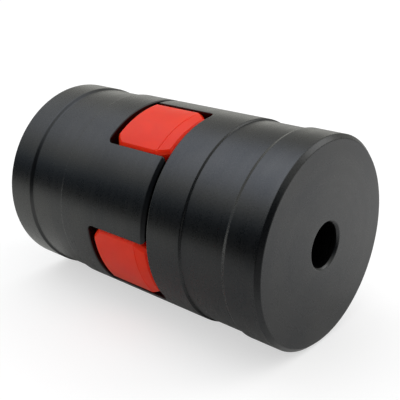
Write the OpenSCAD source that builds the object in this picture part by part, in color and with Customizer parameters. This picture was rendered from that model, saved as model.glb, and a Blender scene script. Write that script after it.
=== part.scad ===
// Jaw coupling with an elastic spider.
// Two identical turned steel hubs face each other. Each carries two claws, called jaws, and the
// four arms of a moulded star, called the spider, sit in the slots between the four jaws.
// Millimetres. The shafts lie along X, the drive hub on -X and the driven hub on +X, and Z is up.
// The origin is the middle of the coupling, on the axis of the shafts.

/* [Hubs] */
// Outer diameter of both hubs
hub_d = 40; // [36:0.5:50]
// Length of a hub's body, from its end face to the foot of its jaws
hub_l = 25; // [22:0.5:45]
// Distance between the two hub bodies
jaw_space = 16; // [12:0.5:24]
// Length of the full-diameter band that carries the jaws
jaw_band_l = 8; // [5:0.5:12]
// Length of the full-diameter rim at the end face
end_rim_l = 7; // [3:0.5:9]
// Depth of the shallow neck turned between the band and the rim
neck_depth = 0.35; // [0.35:0.05:2]
// Fillet where the neck meets the band
neck_fillet = 0.15; // [0.05:0.05:0.15]
// Length of the slope from the neck up to the rim
neck_slope = 0.7; // [0.2:0.1:1.5]
// Chamfer round the end face
end_chamfer = 0.75; // [0.2:0.05:2]
// Bevel that breaks the sharp edges of the band
edge_break = 0.15; // [0.05:0.05:0.15]

/* [Bore] */
// Diameter of the shaft bore through each hub
bore_d = 8.5; // [6:0.5:13]
// Chamfer at both mouths of the bore
bore_chamfer = 0.4; // [0.2:0.1:1.2]

/* [Jaws] */
// Number of jaws on each hub
jaws_per_hub = 2; // [2:1:3]
// Gap between a jaw's tip and the opposite hub
tip_gap = 0.8; // [0.5:0.1:3]
// Chamfer on the outer edge of a jaw's tip
tip_chamfer = 0.6; // [0.1:0.05:0.8]
// Bevel on the two side edges of a jaw's tip
tip_side_bevel = 0.3; // [0.1:0.1:1]
// Fillet between a jaw's flank and the floor of the slot
jaw_root_r = 1.2; // [0.3:0.1:1.5]

/* [Spider arms] */
// Angle that an arm spans at the outer diameter of the hubs
arm_angle = 40.4; // [32:0.2:46]
// How far the arms lie below the outer diameter of the hubs
arm_inset = 0.1; // [0.05:0.05:1.5]
// Free travel of the spider along the shafts, all of it at the drive end
end_play = 0.8; // [0.2:0.1:1.5]
// Crown of an arm's flank above a straight flank
flank_crown = 0.9; // [0.5:0.05:1.4]
// Width that the bevel between an arm's flank and its outer face takes off each of them
edge_bevel = 0.7; // [0.4:0.1:1.2]
// Length of the bevel at the drive end of each flank that bears on a jaw of the drive hub
bevel_l = 1.6; // [0.5:0.1:2.5]
// How far that bevel narrows the flank
bevel_side = 1.8; // [0.5:0.1:2.2]
// Length of the lead-in on both flanks at the driven end of an arm
lead_l = 3; // [1:0.1:4]
// How far the lead-in narrows a flank that bears on a jaw of the driven hub
lead_side = 2.2; // [1:0.05:2.5]
// How far the lead-in narrows a flank that bears on a jaw of the drive hub
free_lead_side = 1.6; // [0.8:0.05:2.2]
// How far the lead-in lowers the outer face
lead_drop = 0.3; // [0.1:0.05:0.6]
// Depth of the parting groove along the start of the lead-in
parting_depth = 0.1; // [0.05:0.05:0.2]
// Width of the parting groove
parting_w = 0.25; // [0.15:0.05:0.4]
// Bevel of the outer face's edge at the drive end
drive_edge_bevel = 0.3; // [0.2:0.05:0.8]
// Bevel of the outer face's edge at the driven end
driven_edge_bevel = 0.7; // [0.2:0.05:0.8]

/* [Spider core] */
// Outer diameter of the ring that joins the arms
core_d = 22; // [19:0.5:24]
// Length of the ring along the shafts
core_l = 10; // [5:0.5:11]
// Diameter of the hole through the spider
core_hole_d = 14; // [10:0.5:16]
// Diameter of the spacer nub on each end of an arm
nub_d = 3; // [1.5:0.5:4]
// Height of a spacer nub
nub_h = 0.4; // [0.2:0.1:0.7]

/* [Fits] */
// Clearance between an arm's flank and the jaw beside it
flank_gap = 0.2; // [0.1:0.05:0.5]
// Clearance between the spider's ring and the inner faces of the jaws
core_gap = 0.4; // [0.2:0.1:1]

/* [Attitude] */
// Angle of the drive hub's jaws about the shaft, from the Y axis towards Z
jaw_turn = -21.8; // [-90:0.1:90]

/* [Hidden] */
$fn = 96;
BLACKENED_STEEL = [0.27, 0.28, 0.29];
RED_POLYURETHANE = [0.88, 0.27, 0.20];

hub_r = hub_d / 2;
root_x = jaw_space / 2;
jaw_l = jaw_space - tip_gap;
arm_count = 2 * jaws_per_hub;
arm_pitch = 360 / arm_count;
jaw_inner_r = core_d / 2 + core_gap;
arm_r = hub_r - arm_inset;
arm_l = jaw_space - 2 * nub_h - end_play;
nub_r_place = (jaw_inner_r + arm_r) / 2;
// How far a cutter runs past what it cuts
overrun = 1;

// An arm points along its own first axis, and its flank is an arc through a root point on the
// inner side of the ring and an edge point on the hubs' outer diameter. The root points of an
// arm's two flanks are spread wider in angle than the edge points, and the arc stands flank_crown
// above the straight line between root and edge.
flank_root_r = 8;
flank_root_spread = 3.6;
flank_root_angle = arm_angle + flank_root_spread;
flank_root = flank_root_r * [cos(flank_root_angle / 2), sin(flank_root_angle / 2)];
flank_edge = hub_r * [cos(arm_angle / 2), sin(arm_angle / 2)];
flank_chord = norm(flank_edge - flank_root);
flank_dir = (flank_edge - flank_root) / flank_chord;
flank_r = flank_chord * flank_chord / (8 * flank_crown) + flank_crown / 2;
flank_centre = (flank_root + flank_edge) / 2
             + (flank_r - flank_crown) * [flank_dir.y, -flank_dir.x];

// Where two circles of radii a and b cross, the first about the origin, the second about c
function crossing(a, b, c) =
    let (d = norm(c), along = (d * d + a * a - b * b) / (2 * d), side = sqrt(a * a - along * along))
    [along * c.x - side * c.y, along * c.y + side * c.x] / d;

// The corner where an arm's outer face meets its flank, the direction that the flank faces there,
// and how far below the corner the bevel of that edge lies
corner = crossing(arm_r, flank_r, flank_centre);
flank_out = (corner - flank_centre) / flank_r;
bevel_depth = edge_bevel * sin(acos(corner * flank_out / arm_r) / 2);

// Lays a shape that was built with the shafts along its third axis down along X
module along_shaft() {
    rotate([90, 0, 90]) children();
}

// Places a shape at the centre of the arc of the flank on the given side of an arm
module at_flank(side) {
    translate([flank_centre.x, side * flank_centre.y]) children();
}

// What two copies of a shape share, one about the centre of each flank's arc
module for_both_flanks() {
    intersection_for (side = [1, -1])
        at_flank(side) children();
}

// Half section of a hub's body: radius across, distance from the foot of the jaws upwards
module hub_section() {
    neck_r = hub_r - neck_depth;
    rim_y = hub_l - end_rim_l;
    bore_r = bore_d / 2;
    difference() {
        polygon([
            [bore_r + bore_chamfer, 0],
            [hub_r - edge_break, 0],
            [hub_r, edge_break],
            [hub_r, jaw_band_l - edge_break],
            [hub_r - edge_break, jaw_band_l],
            [neck_r + neck_fillet, jaw_band_l],
            [neck_r, jaw_band_l + neck_fillet],
            [neck_r, rim_y - neck_slope],
            [hub_r, rim_y],
            [hub_r, hub_l - end_chamfer],
            [hub_r - end_chamfer, hub_l],
            [bore_r + bore_chamfer, hub_l],
            [bore_r, hub_l - bore_chamfer],
            [bore_r, bore_chamfer]
        ]);
        translate([neck_r + neck_fillet, jaw_band_l + neck_fillet]) circle(neck_fillet);
    }
}

// Half section of the cutter that shapes a jaw's flank: it stands on the floor of the slot, with
// the jaw's root fillet at its foot, and flares where the side edge of the jaw's tip is bevelled
module slot_section() {
    side = flank_r + flank_gap;
    foot = side - jaw_root_r;
    polygon([
        [0, -overrun],
        [foot, -overrun],
        [foot, 0],
        [side, jaw_root_r],
        [side, jaw_l - tip_side_bevel],
        [side + tip_side_bevel, jaw_l],
        [side + tip_side_bevel, jaw_l + overrun],
        [0, jaw_l + overrun]
    ]);
    translate([foot, jaw_root_r]) circle(jaw_root_r);
}

// One jaw, standing on the plane of its foot and pointing along its first axis
module jaw() {
    reach = 2 * hub_r;
    half = arm_pitch / 2;
    root_depth = 0.5;
    difference() {
        intersection() {
            rotate_extrude()
                polygon([
                    [jaw_inner_r, -root_depth],
                    [hub_r, -root_depth],
                    [hub_r, jaw_l - tip_chamfer],
                    [hub_r - tip_chamfer, jaw_l],
                    [jaw_inner_r, jaw_l]
                ]);
            translate([0, 0, -root_depth])
                linear_extrude(jaw_l + root_depth)
                    polygon([[0, 0], reach * [cos(half), -sin(half)],
                             reach * [1, 0], reach * [cos(half), sin(half)]]);
        }
        for (side = [1, -1])
            rotate(side * half) for_both_flanks() rotate_extrude() slot_section();
    }
}

// A hub with the foot of its jaws at height 0: the jaws rise from there, the body hangs below
module hub() {
    mirror([0, 0, 1]) rotate_extrude() hub_section();
    for (i = [0 : jaws_per_hub - 1])
        rotate(i * 360 / jaws_per_hub) jaw();
}

// Section of an arm across the shafts, with sharp corners
module arm_section() {
    intersection() {
        circle(arm_r);
        for_both_flanks() circle(flank_r);
    }
}

// Everything below the bevel of the edge between an arm's outer face and the flank on the given
// side. Over a length that starts at height z, flank and face fall away by the given drops.
module below_bevel(side, z, length, flank_drop, face_drop) {
    reach = 2 * hub_r;
    flank_normal = [length * flank_out.x, length * side * flank_out.y, flank_drop];
    face_normal = [length * corner.x / arm_r, length * side * corner.y / arm_r, face_drop];
    normal = flank_normal / norm(flank_normal) + face_normal / norm(face_normal);
    translate([corner.x, side * corner.y, z])
        rotate([0, acos(normal.z / norm(normal)), atan2(normal.y, normal.x)])
            translate([-reach, -reach, -reach - bevel_depth]) cube([2 * reach, 2 * reach, reach]);
}

// Half section that shapes a flank from its bevel at the drive end, at height 0, to the lead-in at
// the driven end, each told as how far it narrows the flank
module flank_section(length, bevel, lead) {
    polygon([
        [0, 0],
        [flank_r - bevel, 0],
        [flank_r, length],
        [flank_r, arm_l - lead_l],
        [flank_r - lead, arm_l],
        [0, arm_l]
    ]);
}

// Half section that shapes the outer face from the drive end to the driven end
module face_section() {
    low_r = arm_r - lead_drop;
    polygon([
        [0, 0],
        [arm_r - drive_edge_bevel, 0],
        [arm_r, drive_edge_bevel],
        [arm_r, arm_l - lead_l - parting_w / 2],
        [arm_r - parting_depth, arm_l - lead_l],
        [arm_r, arm_l - lead_l + parting_w / 2],
        [low_r, arm_l - driven_edge_bevel],
        [low_r - driven_edge_bevel, arm_l],
        [0, arm_l]
    ]);
}

// One arm of the spider with its two spacer nubs, pointing along its first axis. Its clockwise
// flank bears on a jaw of the drive hub, the other one on a jaw of the driven hub.
module arm() {
    intersection() {
        linear_extrude(arm_l) arm_section();
        at_flank(-1) rotate_extrude() flank_section(bevel_l, bevel_side, free_lead_side);
        at_flank(1) rotate_extrude() flank_section(drive_edge_bevel, drive_edge_bevel, lead_side);
        rotate_extrude() face_section();
        below_bevel(-1, bevel_l, bevel_l, -bevel_side, 0);
        below_bevel(-1, 0, 1, 0, 0);
        below_bevel(-1, arm_l - lead_l, lead_l, free_lead_side, lead_drop);
        below_bevel(1, 0, 1, 0, 0);
        below_bevel(1, arm_l - lead_l, lead_l, lead_side, lead_drop);
    }
    translate([nub_r_place, 0, -nub_h]) cylinder(d = nub_d, h = arm_l + 2 * nub_h);
}

// The spider's nubs rest on the slot floors of the driven hub
module spider() {
    color(RED_POLYURETHANE)
        along_shaft() rotate(jaw_turn + arm_pitch / 2) translate([0, 0, (end_play - arm_l) / 2])
            difference() {
                union() {
                    for (i = [0 : arm_count - 1])
                        rotate(i * arm_pitch) mirror([0, i % 2]) arm();
                    translate([0, 0, (arm_l - core_l) / 2]) cylinder(d = core_d, h = core_l);
                }
                translate([0, 0, -overrun])
                    cylinder(d = core_hole_d, h = arm_l + 2 * overrun);
            }
}

module drive_hub() {
    color(BLACKENED_STEEL)
        along_shaft() rotate(jaw_turn) translate([0, 0, -root_x]) hub();
}

module driven_hub() {
    color(BLACKENED_STEEL)
        along_shaft() rotate(jaw_turn + arm_pitch) rotate([180, 0, 0])
            translate([0, 0, -root_x]) hub();
}

drive_hub();
spider();
driven_hub();
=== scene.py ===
# %% [markdown]
# # A jaw coupling, lit and finished
#
# A jaw coupling joins two shafts in line. Two steel hubs face each other, their jaws interlock,
# and a red elastic star sits between the jaws, so that no metal touches metal. The shapes come
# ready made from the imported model. This lesson gives them their camera, their light and their
# two finishes: steel that was turned on a lathe and chemically blackened, and moulded
# polyurethane.

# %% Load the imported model
import bpy
import numpy as np
from mathutils import Matrix, Vector


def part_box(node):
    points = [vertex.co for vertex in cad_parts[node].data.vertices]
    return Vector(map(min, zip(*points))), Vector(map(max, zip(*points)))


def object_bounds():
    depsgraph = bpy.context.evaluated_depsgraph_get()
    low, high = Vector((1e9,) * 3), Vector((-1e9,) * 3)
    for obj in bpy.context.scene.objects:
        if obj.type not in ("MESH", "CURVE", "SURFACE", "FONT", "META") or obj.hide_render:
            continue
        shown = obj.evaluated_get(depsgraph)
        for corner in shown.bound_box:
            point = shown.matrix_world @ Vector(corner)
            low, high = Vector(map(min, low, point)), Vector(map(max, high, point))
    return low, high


MM = 0.001
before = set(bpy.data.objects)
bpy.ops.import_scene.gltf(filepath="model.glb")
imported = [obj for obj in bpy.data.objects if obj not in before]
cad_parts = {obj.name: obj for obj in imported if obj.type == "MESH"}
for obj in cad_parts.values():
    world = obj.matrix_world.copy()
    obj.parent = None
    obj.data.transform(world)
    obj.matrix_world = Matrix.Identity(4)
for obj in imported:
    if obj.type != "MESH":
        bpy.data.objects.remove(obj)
cad_low, cad_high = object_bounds()
print("pieces:", ", ".join(sorted(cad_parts)))

# %% [markdown]
# ## The sizes that the light follows
#
# The floor touches the hubs, and the zones of the paper on it are told in hub radii, so a
# coupling of another size would be lit in the same way.

# %% Sizes of the coupling
hub_low, hub_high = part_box("driven_hub")
outer_r = (hub_high.z - hub_low.z) / 2
floor_z = cad_low.z
print(f"hub radius {outer_r / MM:.1f} mm, length over all {2 * hub_high.x / MM:.1f} mm")

# %% [markdown]
# ## The camera
#
# The coupling is seen from its driven end, a little from above, with a lens that is long enough
# to keep the hubs nearly parallel. A camera looks along its own -Z axis with +Y up, so its
# rotation is a matrix whose columns are its right, up and back directions. A constraint could
# aim it too, but a matrix says exactly where it looks, and serves the lamps as well.

# %% Place the camera
EYE = Vector((94.27, -103.81, 52.32)) * MM
LOOK = Vector((-0.61794, 0.70595, -0.34609))
LENS, SENSOR = 65.68, 36  # in millimetres, as Blender counts them
NEAREST_SEEN = 5 * MM

def aim(obj, eye, look):
    """Puts obj at eye, with its -Z axis along look and its X axis level."""
    right = look.cross(Vector((0, 0, 1))).normalized()
    up = right.cross(look).normalized()
    turn = Matrix((right, up, -look.normalized())).transposed()
    obj.matrix_world = Matrix.Translation(eye) @ turn.to_4x4()

def put_in_scene(name, data):
    """A new object in the scene, with the given mesh, camera or lamp."""
    obj = bpy.data.objects.new(name, data)
    bpy.context.scene.collection.objects.link(obj)
    return obj

camera_data = bpy.data.cameras.new("camera")
camera_data.lens = LENS
camera_data.sensor_width = SENSOR
camera_data.clip_start = NEAREST_SEEN
camera = put_in_scene("camera", camera_data)
aim(camera, EYE, LOOK)
bpy.context.scene.camera = camera
bpy.context.scene.view_settings.view_transform = "Standard"
print(f"camera {EYE.length / MM:.0f} mm from the middle of the coupling")

# %% [markdown]
# ## Short words for nodes
#
# A material is a graph. Five small helpers keep the graphs readable: one adds a node and sets
# its values, two do arithmetic, one carries a value smoothly from one range to another, and one
# blends. Each input may be a number or another node's output.

# %% Node helpers
MIX_SOCKETS = {"FLOAT": ((0, 2, 3), 0), "RGBA": ((0, 6, 7), 2)}  # a mix's inputs, its output

def add(tree, kind, inputs=(), **settings):
    """Adds a node, sets its properties, and fills its inputs by name or index."""
    node = tree.nodes.new(kind)
    for name, value in settings.items():
        setattr(node, name, value)
    for key, value in dict(inputs).items():
        if isinstance(value, bpy.types.NodeSocket):
            tree.links.new(value, node.inputs[key])
        else:
            node.inputs[key].default_value = value
    return node

def maths(tree, operation, *values):
    """One step of arithmetic; returns its output."""
    return add(tree, "ShaderNodeMath", dict(enumerate(values)), operation=operation).outputs[0]

def product(tree, first, *others):
    """Multiplies all its values."""
    for other in others:
        first = maths(tree, "MULTIPLY", first, other)
    return first

def ramp(tree, value, low, high, at_low=0.0, at_high=1.0):
    """Goes smoothly from at_low to at_high as value goes from low to high."""
    inputs = {"Value": value, "From Min": low, "From Max": high,
              "To Min": at_low, "To Max": at_high}
    return add(tree, "ShaderNodeMapRange", inputs, interpolation_type="SMOOTHSTEP").outputs[0]

def blend(tree, factor, first, second):
    """Goes from first to second as factor goes from 0 to 1; for numbers and for colours."""
    coloured = any(isinstance(value, tuple) or getattr(value, "type", "") == "RGBA"
                   for value in (first, second))
    data_type = "RGBA" if coloured else "FLOAT"
    sockets, output = MIX_SOCKETS[data_type]
    node = add(tree, "ShaderNodeMix", dict(zip(sockets, (factor, first, second))),
               data_type=data_type)
    return node.outputs[output]

print("node helpers ready")

# %% [markdown]
# ## Places and noises
#
# A pattern has to stay on its piece when the piece moves, so it reads the Object coordinates of
# Texture Coordinate. Most patterns of a real surface are a noise of some size, more or less
# detailed: pores, clouds, grain. In the room's shader the place is a direction instead.

# %% Helpers for places and noises
def place(tree, kind="Object"):
    """Where a point lies, in its object's own coordinates or in another kind."""
    return add(tree, "ShaderNodeTexCoord").outputs[kind]

def split(tree, vector):
    """The X, Y and Z outputs of a vector."""
    return add(tree, "ShaderNodeSeparateXYZ", {0: vector}).outputs

def noise(tree, scale, detail, distortion=0.0):
    """A noise on the object, with about scale features to a metre."""
    return add(tree, "ShaderNodeTexNoise", {
        "Vector": place(tree), "Scale": scale, "Detail": detail,
        "Distortion": distortion}).outputs[0]

def uneven_line(tree, along, detail):
    """A noise in one dimension, with about one feature to each unit of along."""
    return add(tree, "ShaderNodeTexNoise", {"W": along, "Scale": 1.0, "Detail": detail},
               noise_dimensions="1D").outputs[0]

def spread(tree, value, low=0.3, high=0.7):
    """Spreads the middle of a noise, where nearly all of it lies, over 0 to 1."""
    return ramp(tree, value, low, high)

print("place and noise helpers ready")

# %% [markdown]
# ## Materials and groups
#
# An effect that more than one finish could use is a node group with named inputs and outputs.
# It is built once, and then placed like any other node with its own values.

# %% Helpers for materials and groups
def new_material(name):
    """An empty material and its node tree."""
    material = bpy.data.materials.new(name)
    material.use_nodes = True
    material.node_tree.nodes.clear()
    return material, material.node_tree

def new_group(name, sockets):
    """An empty shader group; sockets lists (name, "INPUT" or "OUTPUT", type, default)."""
    group = bpy.data.node_groups.new(name, "ShaderNodeTree")
    for label, side, kind, default in sockets:
        socket = group.interface.new_socket(label, in_out=side, socket_type="NodeSocket" + kind)
        if default is not None:
            socket.default_value = default
    enter = group.nodes.new("NodeGroupInput")
    leave = group.nodes.new("NodeGroupOutput")
    return group, enter.outputs, leave.inputs

def use_group(tree, group, inputs):
    """Places a group in a tree and returns its outputs."""
    return add(tree, "ShaderNodeGroup", inputs, node_tree=group).outputs

print("material and group helpers ready")

# %% [markdown]
# ## The floor
#
# The floor is one large square at the height of the lowest point of the hubs. It is far wider
# than the view, so that its edge never shows.

# %% Lay the floor
FLOOR_HALF = 3.0

corners = FLOOR_HALF * np.array([[-1, -1, 0], [1, -1, 0], [1, 1, 0], [-1, 1, 0]])
corners[:, 2] = floor_z
floor_mesh = bpy.data.meshes.new("floor")
floor_mesh.from_pydata(corners.tolist(), [], [(0, 1, 2, 3)])
floor = put_in_scene("floor", floor_mesh)
print(f"floor at {floor_z / MM:.2f} mm")

# %% [markdown]
# ## Painted light and shade on the floor paper
#
# A polished cylinder is a mirror for the room, and the lower half of it mirrors the floor. The
# floor is white paper with painted light and shade: dimmer in front, and brighter to the left,
# behind and at the foot of the near end face. Lamps and cards could shade a plain paper so, but
# every one of them would show in the steel. Only rays other than the camera's see this paint.
# Each zone below says where a change begins and ends, in hub radii from the middle, and how
# strong it is at either end.

# %% Paint light and shade on the paper
# Painted light and shade: a dim paper colour in front, lighter ones to the left and behind.
PAINTED_SHADE_PAPER = (0.59, 0.59, 0.58, 1)
PAINTED_LIGHT_LEFT = (0.86, 0.86, 0.815, 1)
PAINTED_LIGHT_BEHIND = (0.97, 0.965, 0.95, 1)

LEFT_ZONE = (-3, -0.25, 1, 0)
BACK_ZONE = (-0.5, 7.5, 0, 1)
FOOT_BEGINS = (1.3, 1.55, 0, 1)
FOOT_ENDS = (1.6, 1.9, 1, 0.5)
FOOT_NEAR_SIDE = (-0.9, -0.4, 0, 1)
FOOT_FAR_SIDE = (0.2, 1.2, 1, 0.3)

def zone(tree, distance, begins, ends, at_first, at_last):
    """Carries a strength over one zone of the paper."""
    return ramp(tree, distance, begins * outer_r, ends * outer_r, at_first, at_last)

floor_paint, tree = new_material("floor_paper")
x, y = split(tree, place(tree))[:2]
left = zone(tree, x, *LEFT_ZONE)
back = zone(tree, maths(tree, "ADD", x, y), *BACK_ZONE)
# The foot zones paint a pool of light on the paper at the foot of the near end face.
foot_along = product(tree, zone(tree, x, *FOOT_BEGINS), zone(tree, x, *FOOT_ENDS))
foot_across = product(tree, zone(tree, y, *FOOT_NEAR_SIDE), zone(tree, y, *FOOT_FAR_SIDE))
bright = maths(tree, "MAXIMUM", back, product(tree, foot_along, foot_across))
painted_light = blend(tree, bright, blend(tree, left, PAINTED_SHADE_PAPER, PAINTED_LIGHT_LEFT), PAINTED_LIGHT_BEHIND)
print("paper: dim", PAINTED_SHADE_PAPER[0], "left", PAINTED_LIGHT_LEFT[0], "behind", PAINTED_LIGHT_BEHIND[0])

# %% [markdown]
# ## Painted shade at the ends of the paper
#
# Three more zones paint shade on the paper, darkening it towards black. Far in front, where
# whoever holds the camera stands, the painted shade lets the hubs mirror next to nothing. Far
# behind, and on the front right, which the chamfers mirror, painted shade makes the paper
# dimmer too.

# %% Paint shade at the ends of the paper
# Painted shade: the black that the paper fades to far in front, behind and on the front right.
PAINTED_SHADE_BLACK = (0.0, 0.0, 0.0, 1)
FRONT_PAINTED_SHADE = (-11, -1.5, 0.08, 1)
BACK_PAINTED_SHADE = (6, 15, 1, 0.45)
RIGHT_PAINTED_SHADE = (2.6, 5.5, 1, 0.4)

# Painted shade: how much of the paper's painted light is left at each place.
painted_shade_falloff = product(tree, zone(tree, y, *FRONT_PAINTED_SHADE), zone(tree, y, *BACK_PAINTED_SHADE),
                zone(tree, maths(tree, "SUBTRACT", x, y), *RIGHT_PAINTED_SHADE))
paper = add(tree, "ShaderNodeBsdfDiffuse", {"Color": blend(tree, painted_shade_falloff, PAINTED_SHADE_BLACK, painted_light)})
print("strength left in front", FRONT_PAINTED_SHADE[2], "behind", BACK_PAINTED_SHADE[3], "right", RIGHT_PAINTED_SHADE[3])

# %% [markdown]
# ## What the camera sees of the floor
#
# The camera sees the floor plain white, with the soft shadow of the coupling. Half of that
# white is a diffuse surface, which takes the shadow, and half is a glow, which keeps the shadow
# pale. Light Path tells the camera's own rays from all others.

# %% Show the camera a white floor
SHADOW_TAKER = (0.5, 0.5, 0.5, 1)
PALE_GLOW = (0.55, 0.55, 0.55, 1)

white = add(tree, "ShaderNodeBsdfDiffuse", {"Color": SHADOW_TAKER})
glow = add(tree, "ShaderNodeEmission", {"Color": PALE_GLOW})
shown = add(tree, "ShaderNodeAddShader", {0: white.outputs[0], 1: glow.outputs[0]})
rays = add(tree, "ShaderNodeLightPath").outputs
either = add(tree, "ShaderNodeMixShader",
             {0: rays["Is Camera Ray"], 1: paper.outputs[0], 2: shown.outputs[0]})
add(tree, "ShaderNodeOutputMaterial", {"Surface": either.outputs[0]})
floor_mesh.materials.append(floor_paint)
print("made", floor_paint.name)

# %% [markdown]
# ## The room
#
# What makes blackened steel readable is a room that changes with direction. Going round the
# hubs from the far side to the near one, they mirror a pale backdrop, a glow overhead, and then
# the dark corner behind the camera. Walls and lamps round the coupling could make such a room,
# but painting the world by direction is simpler and adds no shadows. A direction is a point on
# a ball of radius 1, and each change below begins and ends at a place on that ball. The first
# step is the wall: brighter on the left, and plain above.

# %% Paint the wall
BACKDROP_LEFT, BACKDROP_RIGHT = 0.87, 0.5
UPPER_WALL = 0.54
BACKDROP_CHANGES = (-0.55, -0.25)
UPPER_WALL_BEGINS = (0.18, 0.42)

world = bpy.data.worlds.new("studio")
bpy.context.scene.world = world
world.use_nodes = True
tree = world.node_tree
tree.nodes.clear()
x, y, z = split(tree, place(tree, "Generated"))
backdrop = ramp(tree, x, *BACKDROP_CHANGES, BACKDROP_LEFT, BACKDROP_RIGHT)
wall = blend(tree, ramp(tree, z, *UPPER_WALL_BEGINS), backdrop, UPPER_WALL)
print("wall: left", BACKDROP_LEFT, "right", BACKDROP_RIGHT, "above", UPPER_WALL)

# %% [markdown]
# ## The glow overhead
#
# A wide soft light overhead gives each hub its bright upper zone. Its lower edge is tilted: it
# begins higher behind the coupling, and lower in front of its left end. To the right it fades.

# %% Paint the glow
GLOW, GLOW_ON_THE_RIGHT = 2.3, 0.1
GLOW_BEGINS = (0.46, 1.05)
GLOW_FADES = (-0.5, 0)
GLOW_RISE_BEHIND, GLOW_DIP_IN_FRONT = 0.25, 0.35
LEFT_PART_ENDS = (-0.75, -0.58)

leftward = ramp(tree, x, *LEFT_PART_ENDS, 1, 0)
tilt = blend(tree, leftward,
             product(tree, maths(tree, "MAXIMUM", y, 0.0), GLOW_RISE_BEHIND),
             product(tree, maths(tree, "MINIMUM", y, 0.0), GLOW_DIP_IN_FRONT))
upward = ramp(tree, maths(tree, "SUBTRACT", z, tilt), *GLOW_BEGINS, 0, GLOW)
overhead = product(tree, upward, ramp(tree, x, *GLOW_FADES, 1, GLOW_ON_THE_RIGHT))
print("glow overhead: up to", GLOW, "more than the wall's", UPPER_WALL)

# %% [markdown]
# ## The dark corner
#
# Behind the camera the room is dark, and the hubs mirror that as the dark line along them. The
# top of the corner rises to the right, so the line stays as wide on the near hub.

# %% Paint the dark corner
DARK, DARK_ON_THE_LEFT = 0.035, 0.13
CORNER_TOP = (0.2, 0.52)
CORNER_TOP_SHIFT, CORNER_TOP_SLOPE = 0.6, -0.5
CORNER_SIDE = (-0.25, 0)

corner_height = maths(tree, "MULTIPLY_ADD", maths(tree, "ADD", x, CORNER_TOP_SHIFT),
                      CORNER_TOP_SLOPE, z)
corner = product(tree, ramp(tree, corner_height, *CORNER_TOP, 1, 0),
                 ramp(tree, y, *CORNER_SIDE, 1, 0))
dark = blend(tree, leftward, DARK, DARK_ON_THE_LEFT)
room = blend(tree, corner, maths(tree, "ADD", wall, overhead), dark)
print("dark corner", DARK, "on the left", DARK_ON_THE_LEFT)

# %% [markdown]
# ## Who sees the room
#
# Only mirrored rays see the room. Diffuse light comes evenly from everywhere, so that a colour
# renders about as it is written, and the camera sees plain white. The glow is a little blue,
# like daylight, the walls are a little warm, and the dark corner is bluer still.

# %% Tint the room and close the world
WHITE = (1.0, 1.0, 1.0, 1)
WALL_TINT = (1.0, 1.0, 0.93, 1)
GLOW_TINT = (0.95, 0.99, 1.07, 1)
CORNER_TINT = (0.78, 0.98, 1.2, 1)
SOFT_LIGHT = 0.88
CAMERA_WHITE = 1.0

rays = add(tree, "ShaderNodeLightPath").outputs
strength = blend(tree, rays["Is Glossy Ray"], SOFT_LIGHT, room)
strength = blend(tree, rays["Is Camera Ray"], strength, CAMERA_WHITE)
tint = blend(tree, ramp(tree, overhead, 0, 1), WALL_TINT, GLOW_TINT)
tint = blend(tree, corner, tint, CORNER_TINT)
tint = blend(tree, rays["Is Glossy Ray"], WHITE, tint)
background = add(tree, "ShaderNodeBackground", {"Color": tint, "Strength": strength})
add(tree, "ShaderNodeOutputWorld", {"Surface": background.outputs[0]})
print("even light", SOFT_LIGHT)

# %% [markdown]
# ## Two lamps
#
# Even light alone draws no shadow. Two large soft lamps, one overhead on the left and one
# behind on the right, add a little direction. Mirrored rays don't see the one overhead, because
# the room already has its own glow there.

# %% Hang the lamps
def softbox(name, hangs_at, size, power, colour, mirrored):
    """A square lamp that faces the coupling; mirrored says whether mirrors show it."""
    lamp = bpy.data.lights.new(name, "AREA")
    lamp.size = size
    lamp.energy = power
    lamp.color = colour
    obj = put_in_scene(name, lamp)
    obj.visible_glossy = mirrored
    hangs_at = Vector(hangs_at)
    aim(obj, hangs_at, -hangs_at.normalized())
    print(f"{name}: {power} W at {hangs_at.length:.2f} m")

softbox("overhead", hangs_at=(-0.22, -0.05, 0.50), size=0.40, power=0.5,
        colour=(0.95, 0.98, 1.0), mirrored=False)
softbox("back", hangs_at=(0.42, 0.55, 0.50), size=0.45, power=1.2,
        colour=(1.0, 0.99, 0.97), mirrored=True)

# %% [markdown]
# ## What the lathe leaves
#
# A turning tool cuts a fine spiral groove: it runs round the outside, and in rings on the end
# faces. Both are the same pattern along one distance, the position along the shaft plus the
# distance from it. On the outside the second is constant, and on a face the first is. A noise
# in one dimension makes the grooves uneven, as real feed marks are, and a slower one gathers
# them in bands. Grooves this fine would take millions of faces, so they are a bump instead.

# %% Node group: turning marks
FEED = 0.12 * MM
BANDS_PER_GROOVE = 0.07

turning, given, result = new_group("turning marks", [
    ("Feed", "INPUT", "Float", FEED),
    ("Height", "OUTPUT", "Float", None),
    ("Grey", "OUTPUT", "Float", None)])
x, y, z = split(turning, place(turning))
radius = maths(turning, "SQRT", maths(turning, "ADD", maths(turning, "POWER", y, 2.0),
                                      maths(turning, "POWER", z, 2.0)))
along = maths(turning, "DIVIDE", maths(turning, "ADD", x, radius), given["Feed"])
groove = uneven_line(turning, along, detail=2.0)
band = uneven_line(turning, product(turning, along, BANDS_PER_GROOVE), detail=3.0)
turning.links.new(groove, result["Height"])
turning.links.new(spread(turning, band), result["Grey"])
print(f"turning marks: feed {FEED / MM:.2f} mm")

# %% [markdown]
# ## What the blackening bath leaves
#
# Black oxide is a thin crust: near black, slightly blue, with a fine grain like very fine paper
# and cloudy patches where the oil sits thicker. One noise makes the grain and one the clouds. A
# flat pattern wrapped round the hubs would show a seam, and a noise in space has none.

# %% Node group: oxide crust
GRAIN_SIZE = 0.28 * MM
CLOUD_SIZE = 9 * MM

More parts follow.
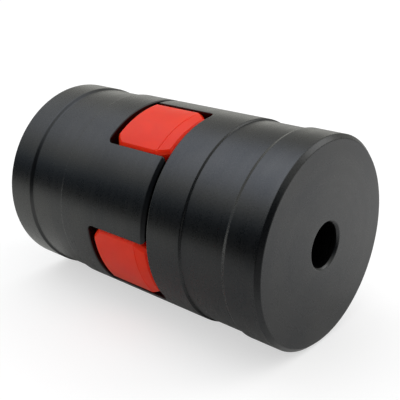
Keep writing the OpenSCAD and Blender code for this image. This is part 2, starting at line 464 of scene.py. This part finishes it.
oxide, given, result = new_group("oxide crust", [
    ("Grain Size", "INPUT", "Float", GRAIN_SIZE),
    ("Cloud Size", "INPUT", "Float", CLOUD_SIZE),
    ("Grain", "OUTPUT", "Float", None),
    ("Clouds", "OUTPUT", "Float", None)])
grain = noise(oxide, maths(oxide, "DIVIDE", 1.0, given["Grain Size"]), detail=3.0)
clouds = noise(oxide, maths(oxide, "DIVIDE", 1.0, given["Cloud Size"]), detail=4.0,
               distortion=0.4)
oxide.links.new(spread(oxide, grain), result["Grain"])
oxide.links.new(spread(oxide, clouds), result["Clouds"])
print(f"oxide crust: grain {GRAIN_SIZE / MM:.2f} mm, clouds {CLOUD_SIZE / MM:.0f} mm")

# %% [markdown]
# ## Worn edges
#
# Handling rubs the crust off the sharp edges first. The edges could be painted by hand, but the
# Bevel node finds them all: it gives the normal that the surface would have with its edges
# rounded. Where that normal leaves the true one, an edge is near, and a noise breaks the line
# up so that the wear isn't even.

# %% Node group: edge wear
WEAR_PATCH = 3 * MM
AT_AN_EDGE, ON_A_FLAT = 0.93, 0.995

wear, given, result = new_group("edge wear", [
    ("Rounded", "INPUT", "Vector", None),
    ("Patchiness", "INPUT", "Float", 0.5),
    ("Edge", "OUTPUT", "Float", None)])
true_normal = add(wear, "ShaderNodeNewGeometry").outputs["Normal"]
agree = add(wear, "ShaderNodeVectorMath", {0: given["Rounded"], 1: true_normal},
            operation="DOT_PRODUCT").outputs["Value"]
near_edge = ramp(wear, agree, AT_AN_EDGE, ON_A_FLAT, 1, 0)
patches = spread(wear, noise(wear, 1 / WEAR_PATCH, detail=3.0), 0.35, 0.65)
share = blend(wear, given["Patchiness"], 1.0, patches)
wear.links.new(product(wear, near_edge, share), result["Edge"])
print(f"edge wear: patches {WEAR_PATCH / MM:.0f} mm")

# %% [markdown]
# ## Blackened steel
#
# Steel is a metal, so its colour is the colour of its mirror image. The crust makes that image
# dark and slightly blurred, the grain and the turning marks break it up, and the worn edges are
# a little lighter. A black plastic would look wrong: it mirrors little except at a grazing
# angle, while this steel mirrors the whole room, darkly.

# %% Material: blackened steel
THIN_CRUST = (0.047, 0.049, 0.052, 1)
OILY_CRUST = (0.057, 0.058, 0.059, 1)
GRAIN_COLOUR, GRAIN_SHARE = (0.08, 0.081, 0.082, 1), 0.35
BARE_STEEL, BARE_SHARE = (0.1, 0.1, 0.098, 1), 0.3
STEEL_ROUGHNESS = (0.25, 0.28)
GRAIN_ROUGHNESS = 0.05
GRAIN_HEIGHT = 0.7
BUMP_HEIGHT = 0.02 * MM

steel, tree = new_material("blackened_steel_finish")
rounded = add(tree, "ShaderNodeBevel", {"Radius": 0.3 * MM}, samples=8).outputs[0]
marks = use_group(tree, turning, {"Feed": FEED})
crust = use_group(tree, oxide, {"Grain Size": GRAIN_SIZE, "Cloud Size": CLOUD_SIZE})
edges = use_group(tree, wear, {"Rounded": rounded, "Patchiness": 0.6})
clouded = blend(tree, crust["Clouds"], THIN_CRUST, OILY_CRUST)
grained = blend(tree, product(tree, crust["Grain"], GRAIN_SHARE), clouded, GRAIN_COLOUR)
worn = blend(tree, product(tree, edges["Edge"], BARE_SHARE), grained, BARE_STEEL)
roughness = maths(tree, "MULTIPLY_ADD", crust["Grain"], GRAIN_ROUGHNESS,
                  ramp(tree, marks["Grey"], 0, 1, *STEEL_ROUGHNESS))
height = maths(tree, "MULTIPLY_ADD", crust["Grain"], GRAIN_HEIGHT, marks["Height"])
bump = add(tree, "ShaderNodeBump", {"Strength": 0.25, "Distance": BUMP_HEIGHT,
                                    "Height": height, "Normal": rounded})
shader = add(tree, "ShaderNodeBsdfPrincipled", {
    "Base Color": worn, "Metallic": 1.0, "Roughness": roughness, "Normal": bump.outputs[0]})
add(tree, "ShaderNodeOutputMaterial", {"Surface": shader.outputs[0]})
print("made", steel.name)

# %% [markdown]
# ## The skin of the moulding
#
# The star is moulded from a hard rubber. Its skin copies the fine pores of the mould, and slow
# cloudy lines show how the melt flowed. A strongly distorted noise has just such lines.

# %% Node group: moulded skin
PORE_SIZE = 0.2 * MM
FLOW_SIZE = 7 * MM

moulded, given, result = new_group("moulded skin", [
    ("Pore Size", "INPUT", "Float", PORE_SIZE),
    ("Pores", "OUTPUT", "Float", None),
    ("Flow", "OUTPUT", "Float", None)])
pores = noise(moulded, maths(moulded, "DIVIDE", 1.0, given["Pore Size"]), detail=2.0)
flow = noise(moulded, 1 / FLOW_SIZE, detail=3.0, distortion=0.8)
moulded.links.new(pores, result["Pores"])
moulded.links.new(spread(moulded, flow), result["Flow"])
print(f"moulded skin: pores {PORE_SIZE / MM:.1f} mm, flow lines {FLOW_SIZE / MM:.0f} mm")

# %% [markdown]
# ## Red polyurethane
#
# Polyurethane is slightly translucent: light goes a few millimetres in and comes out again,
# which softens the shading and makes the edges glow. A plain red plastic would look painted, so
# Subsurface does this. Red light travels furthest in it, so its radius is the largest.

# %% Material: red polyurethane
DEEP_RED = (0.75, 0.024, 0.003, 1)
BRIGHT_RED = (0.81, 0.03, 0.004, 1)
RUBBER_ROUGHNESS = (0.28, 0.34)

rubber, tree = new_material("red_polyurethane_finish")
rounded = add(tree, "ShaderNodeBevel", {"Radius": 0.1 * MM}, samples=8).outputs[0]
skin = use_group(tree, moulded, {"Pore Size": PORE_SIZE})
colour = blend(tree, skin["Flow"], DEEP_RED, BRIGHT_RED)
roughness = ramp(tree, skin["Flow"], 0, 1, *RUBBER_ROUGHNESS)
bump = add(tree, "ShaderNodeBump", {"Strength": 0.2, "Distance": BUMP_HEIGHT,
                                    "Height": skin["Pores"], "Normal": rounded})
shader = add(tree, "ShaderNodeBsdfPrincipled", {
    "Base Color": colour, "Roughness": roughness, "Normal": bump.outputs[0],
    "Specular IOR Level": 0.22, "Subsurface Weight": 0.9,
    "Subsurface Radius": (1.0, 0.1, 0.03), "Subsurface Scale": 2.5 * MM})
add(tree, "ShaderNodeOutputMaterial", {"Surface": shader.outputs[0]})
print("made", rubber.name)

# %% [markdown]
# ## Dressing the pieces
#
# The meshes stay as they are in model.glb. Each only gets its finish in place of the plain
# colour.

# %% Dress the nodes
FINISH = {"drive_hub": steel, "driven_hub": steel, "spider": rubber}
for name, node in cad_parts.items():
    for material_slot in node.material_slots:
        material_slot.material = FINISH[name]
    print(name, "wears", FINISH[name].name)
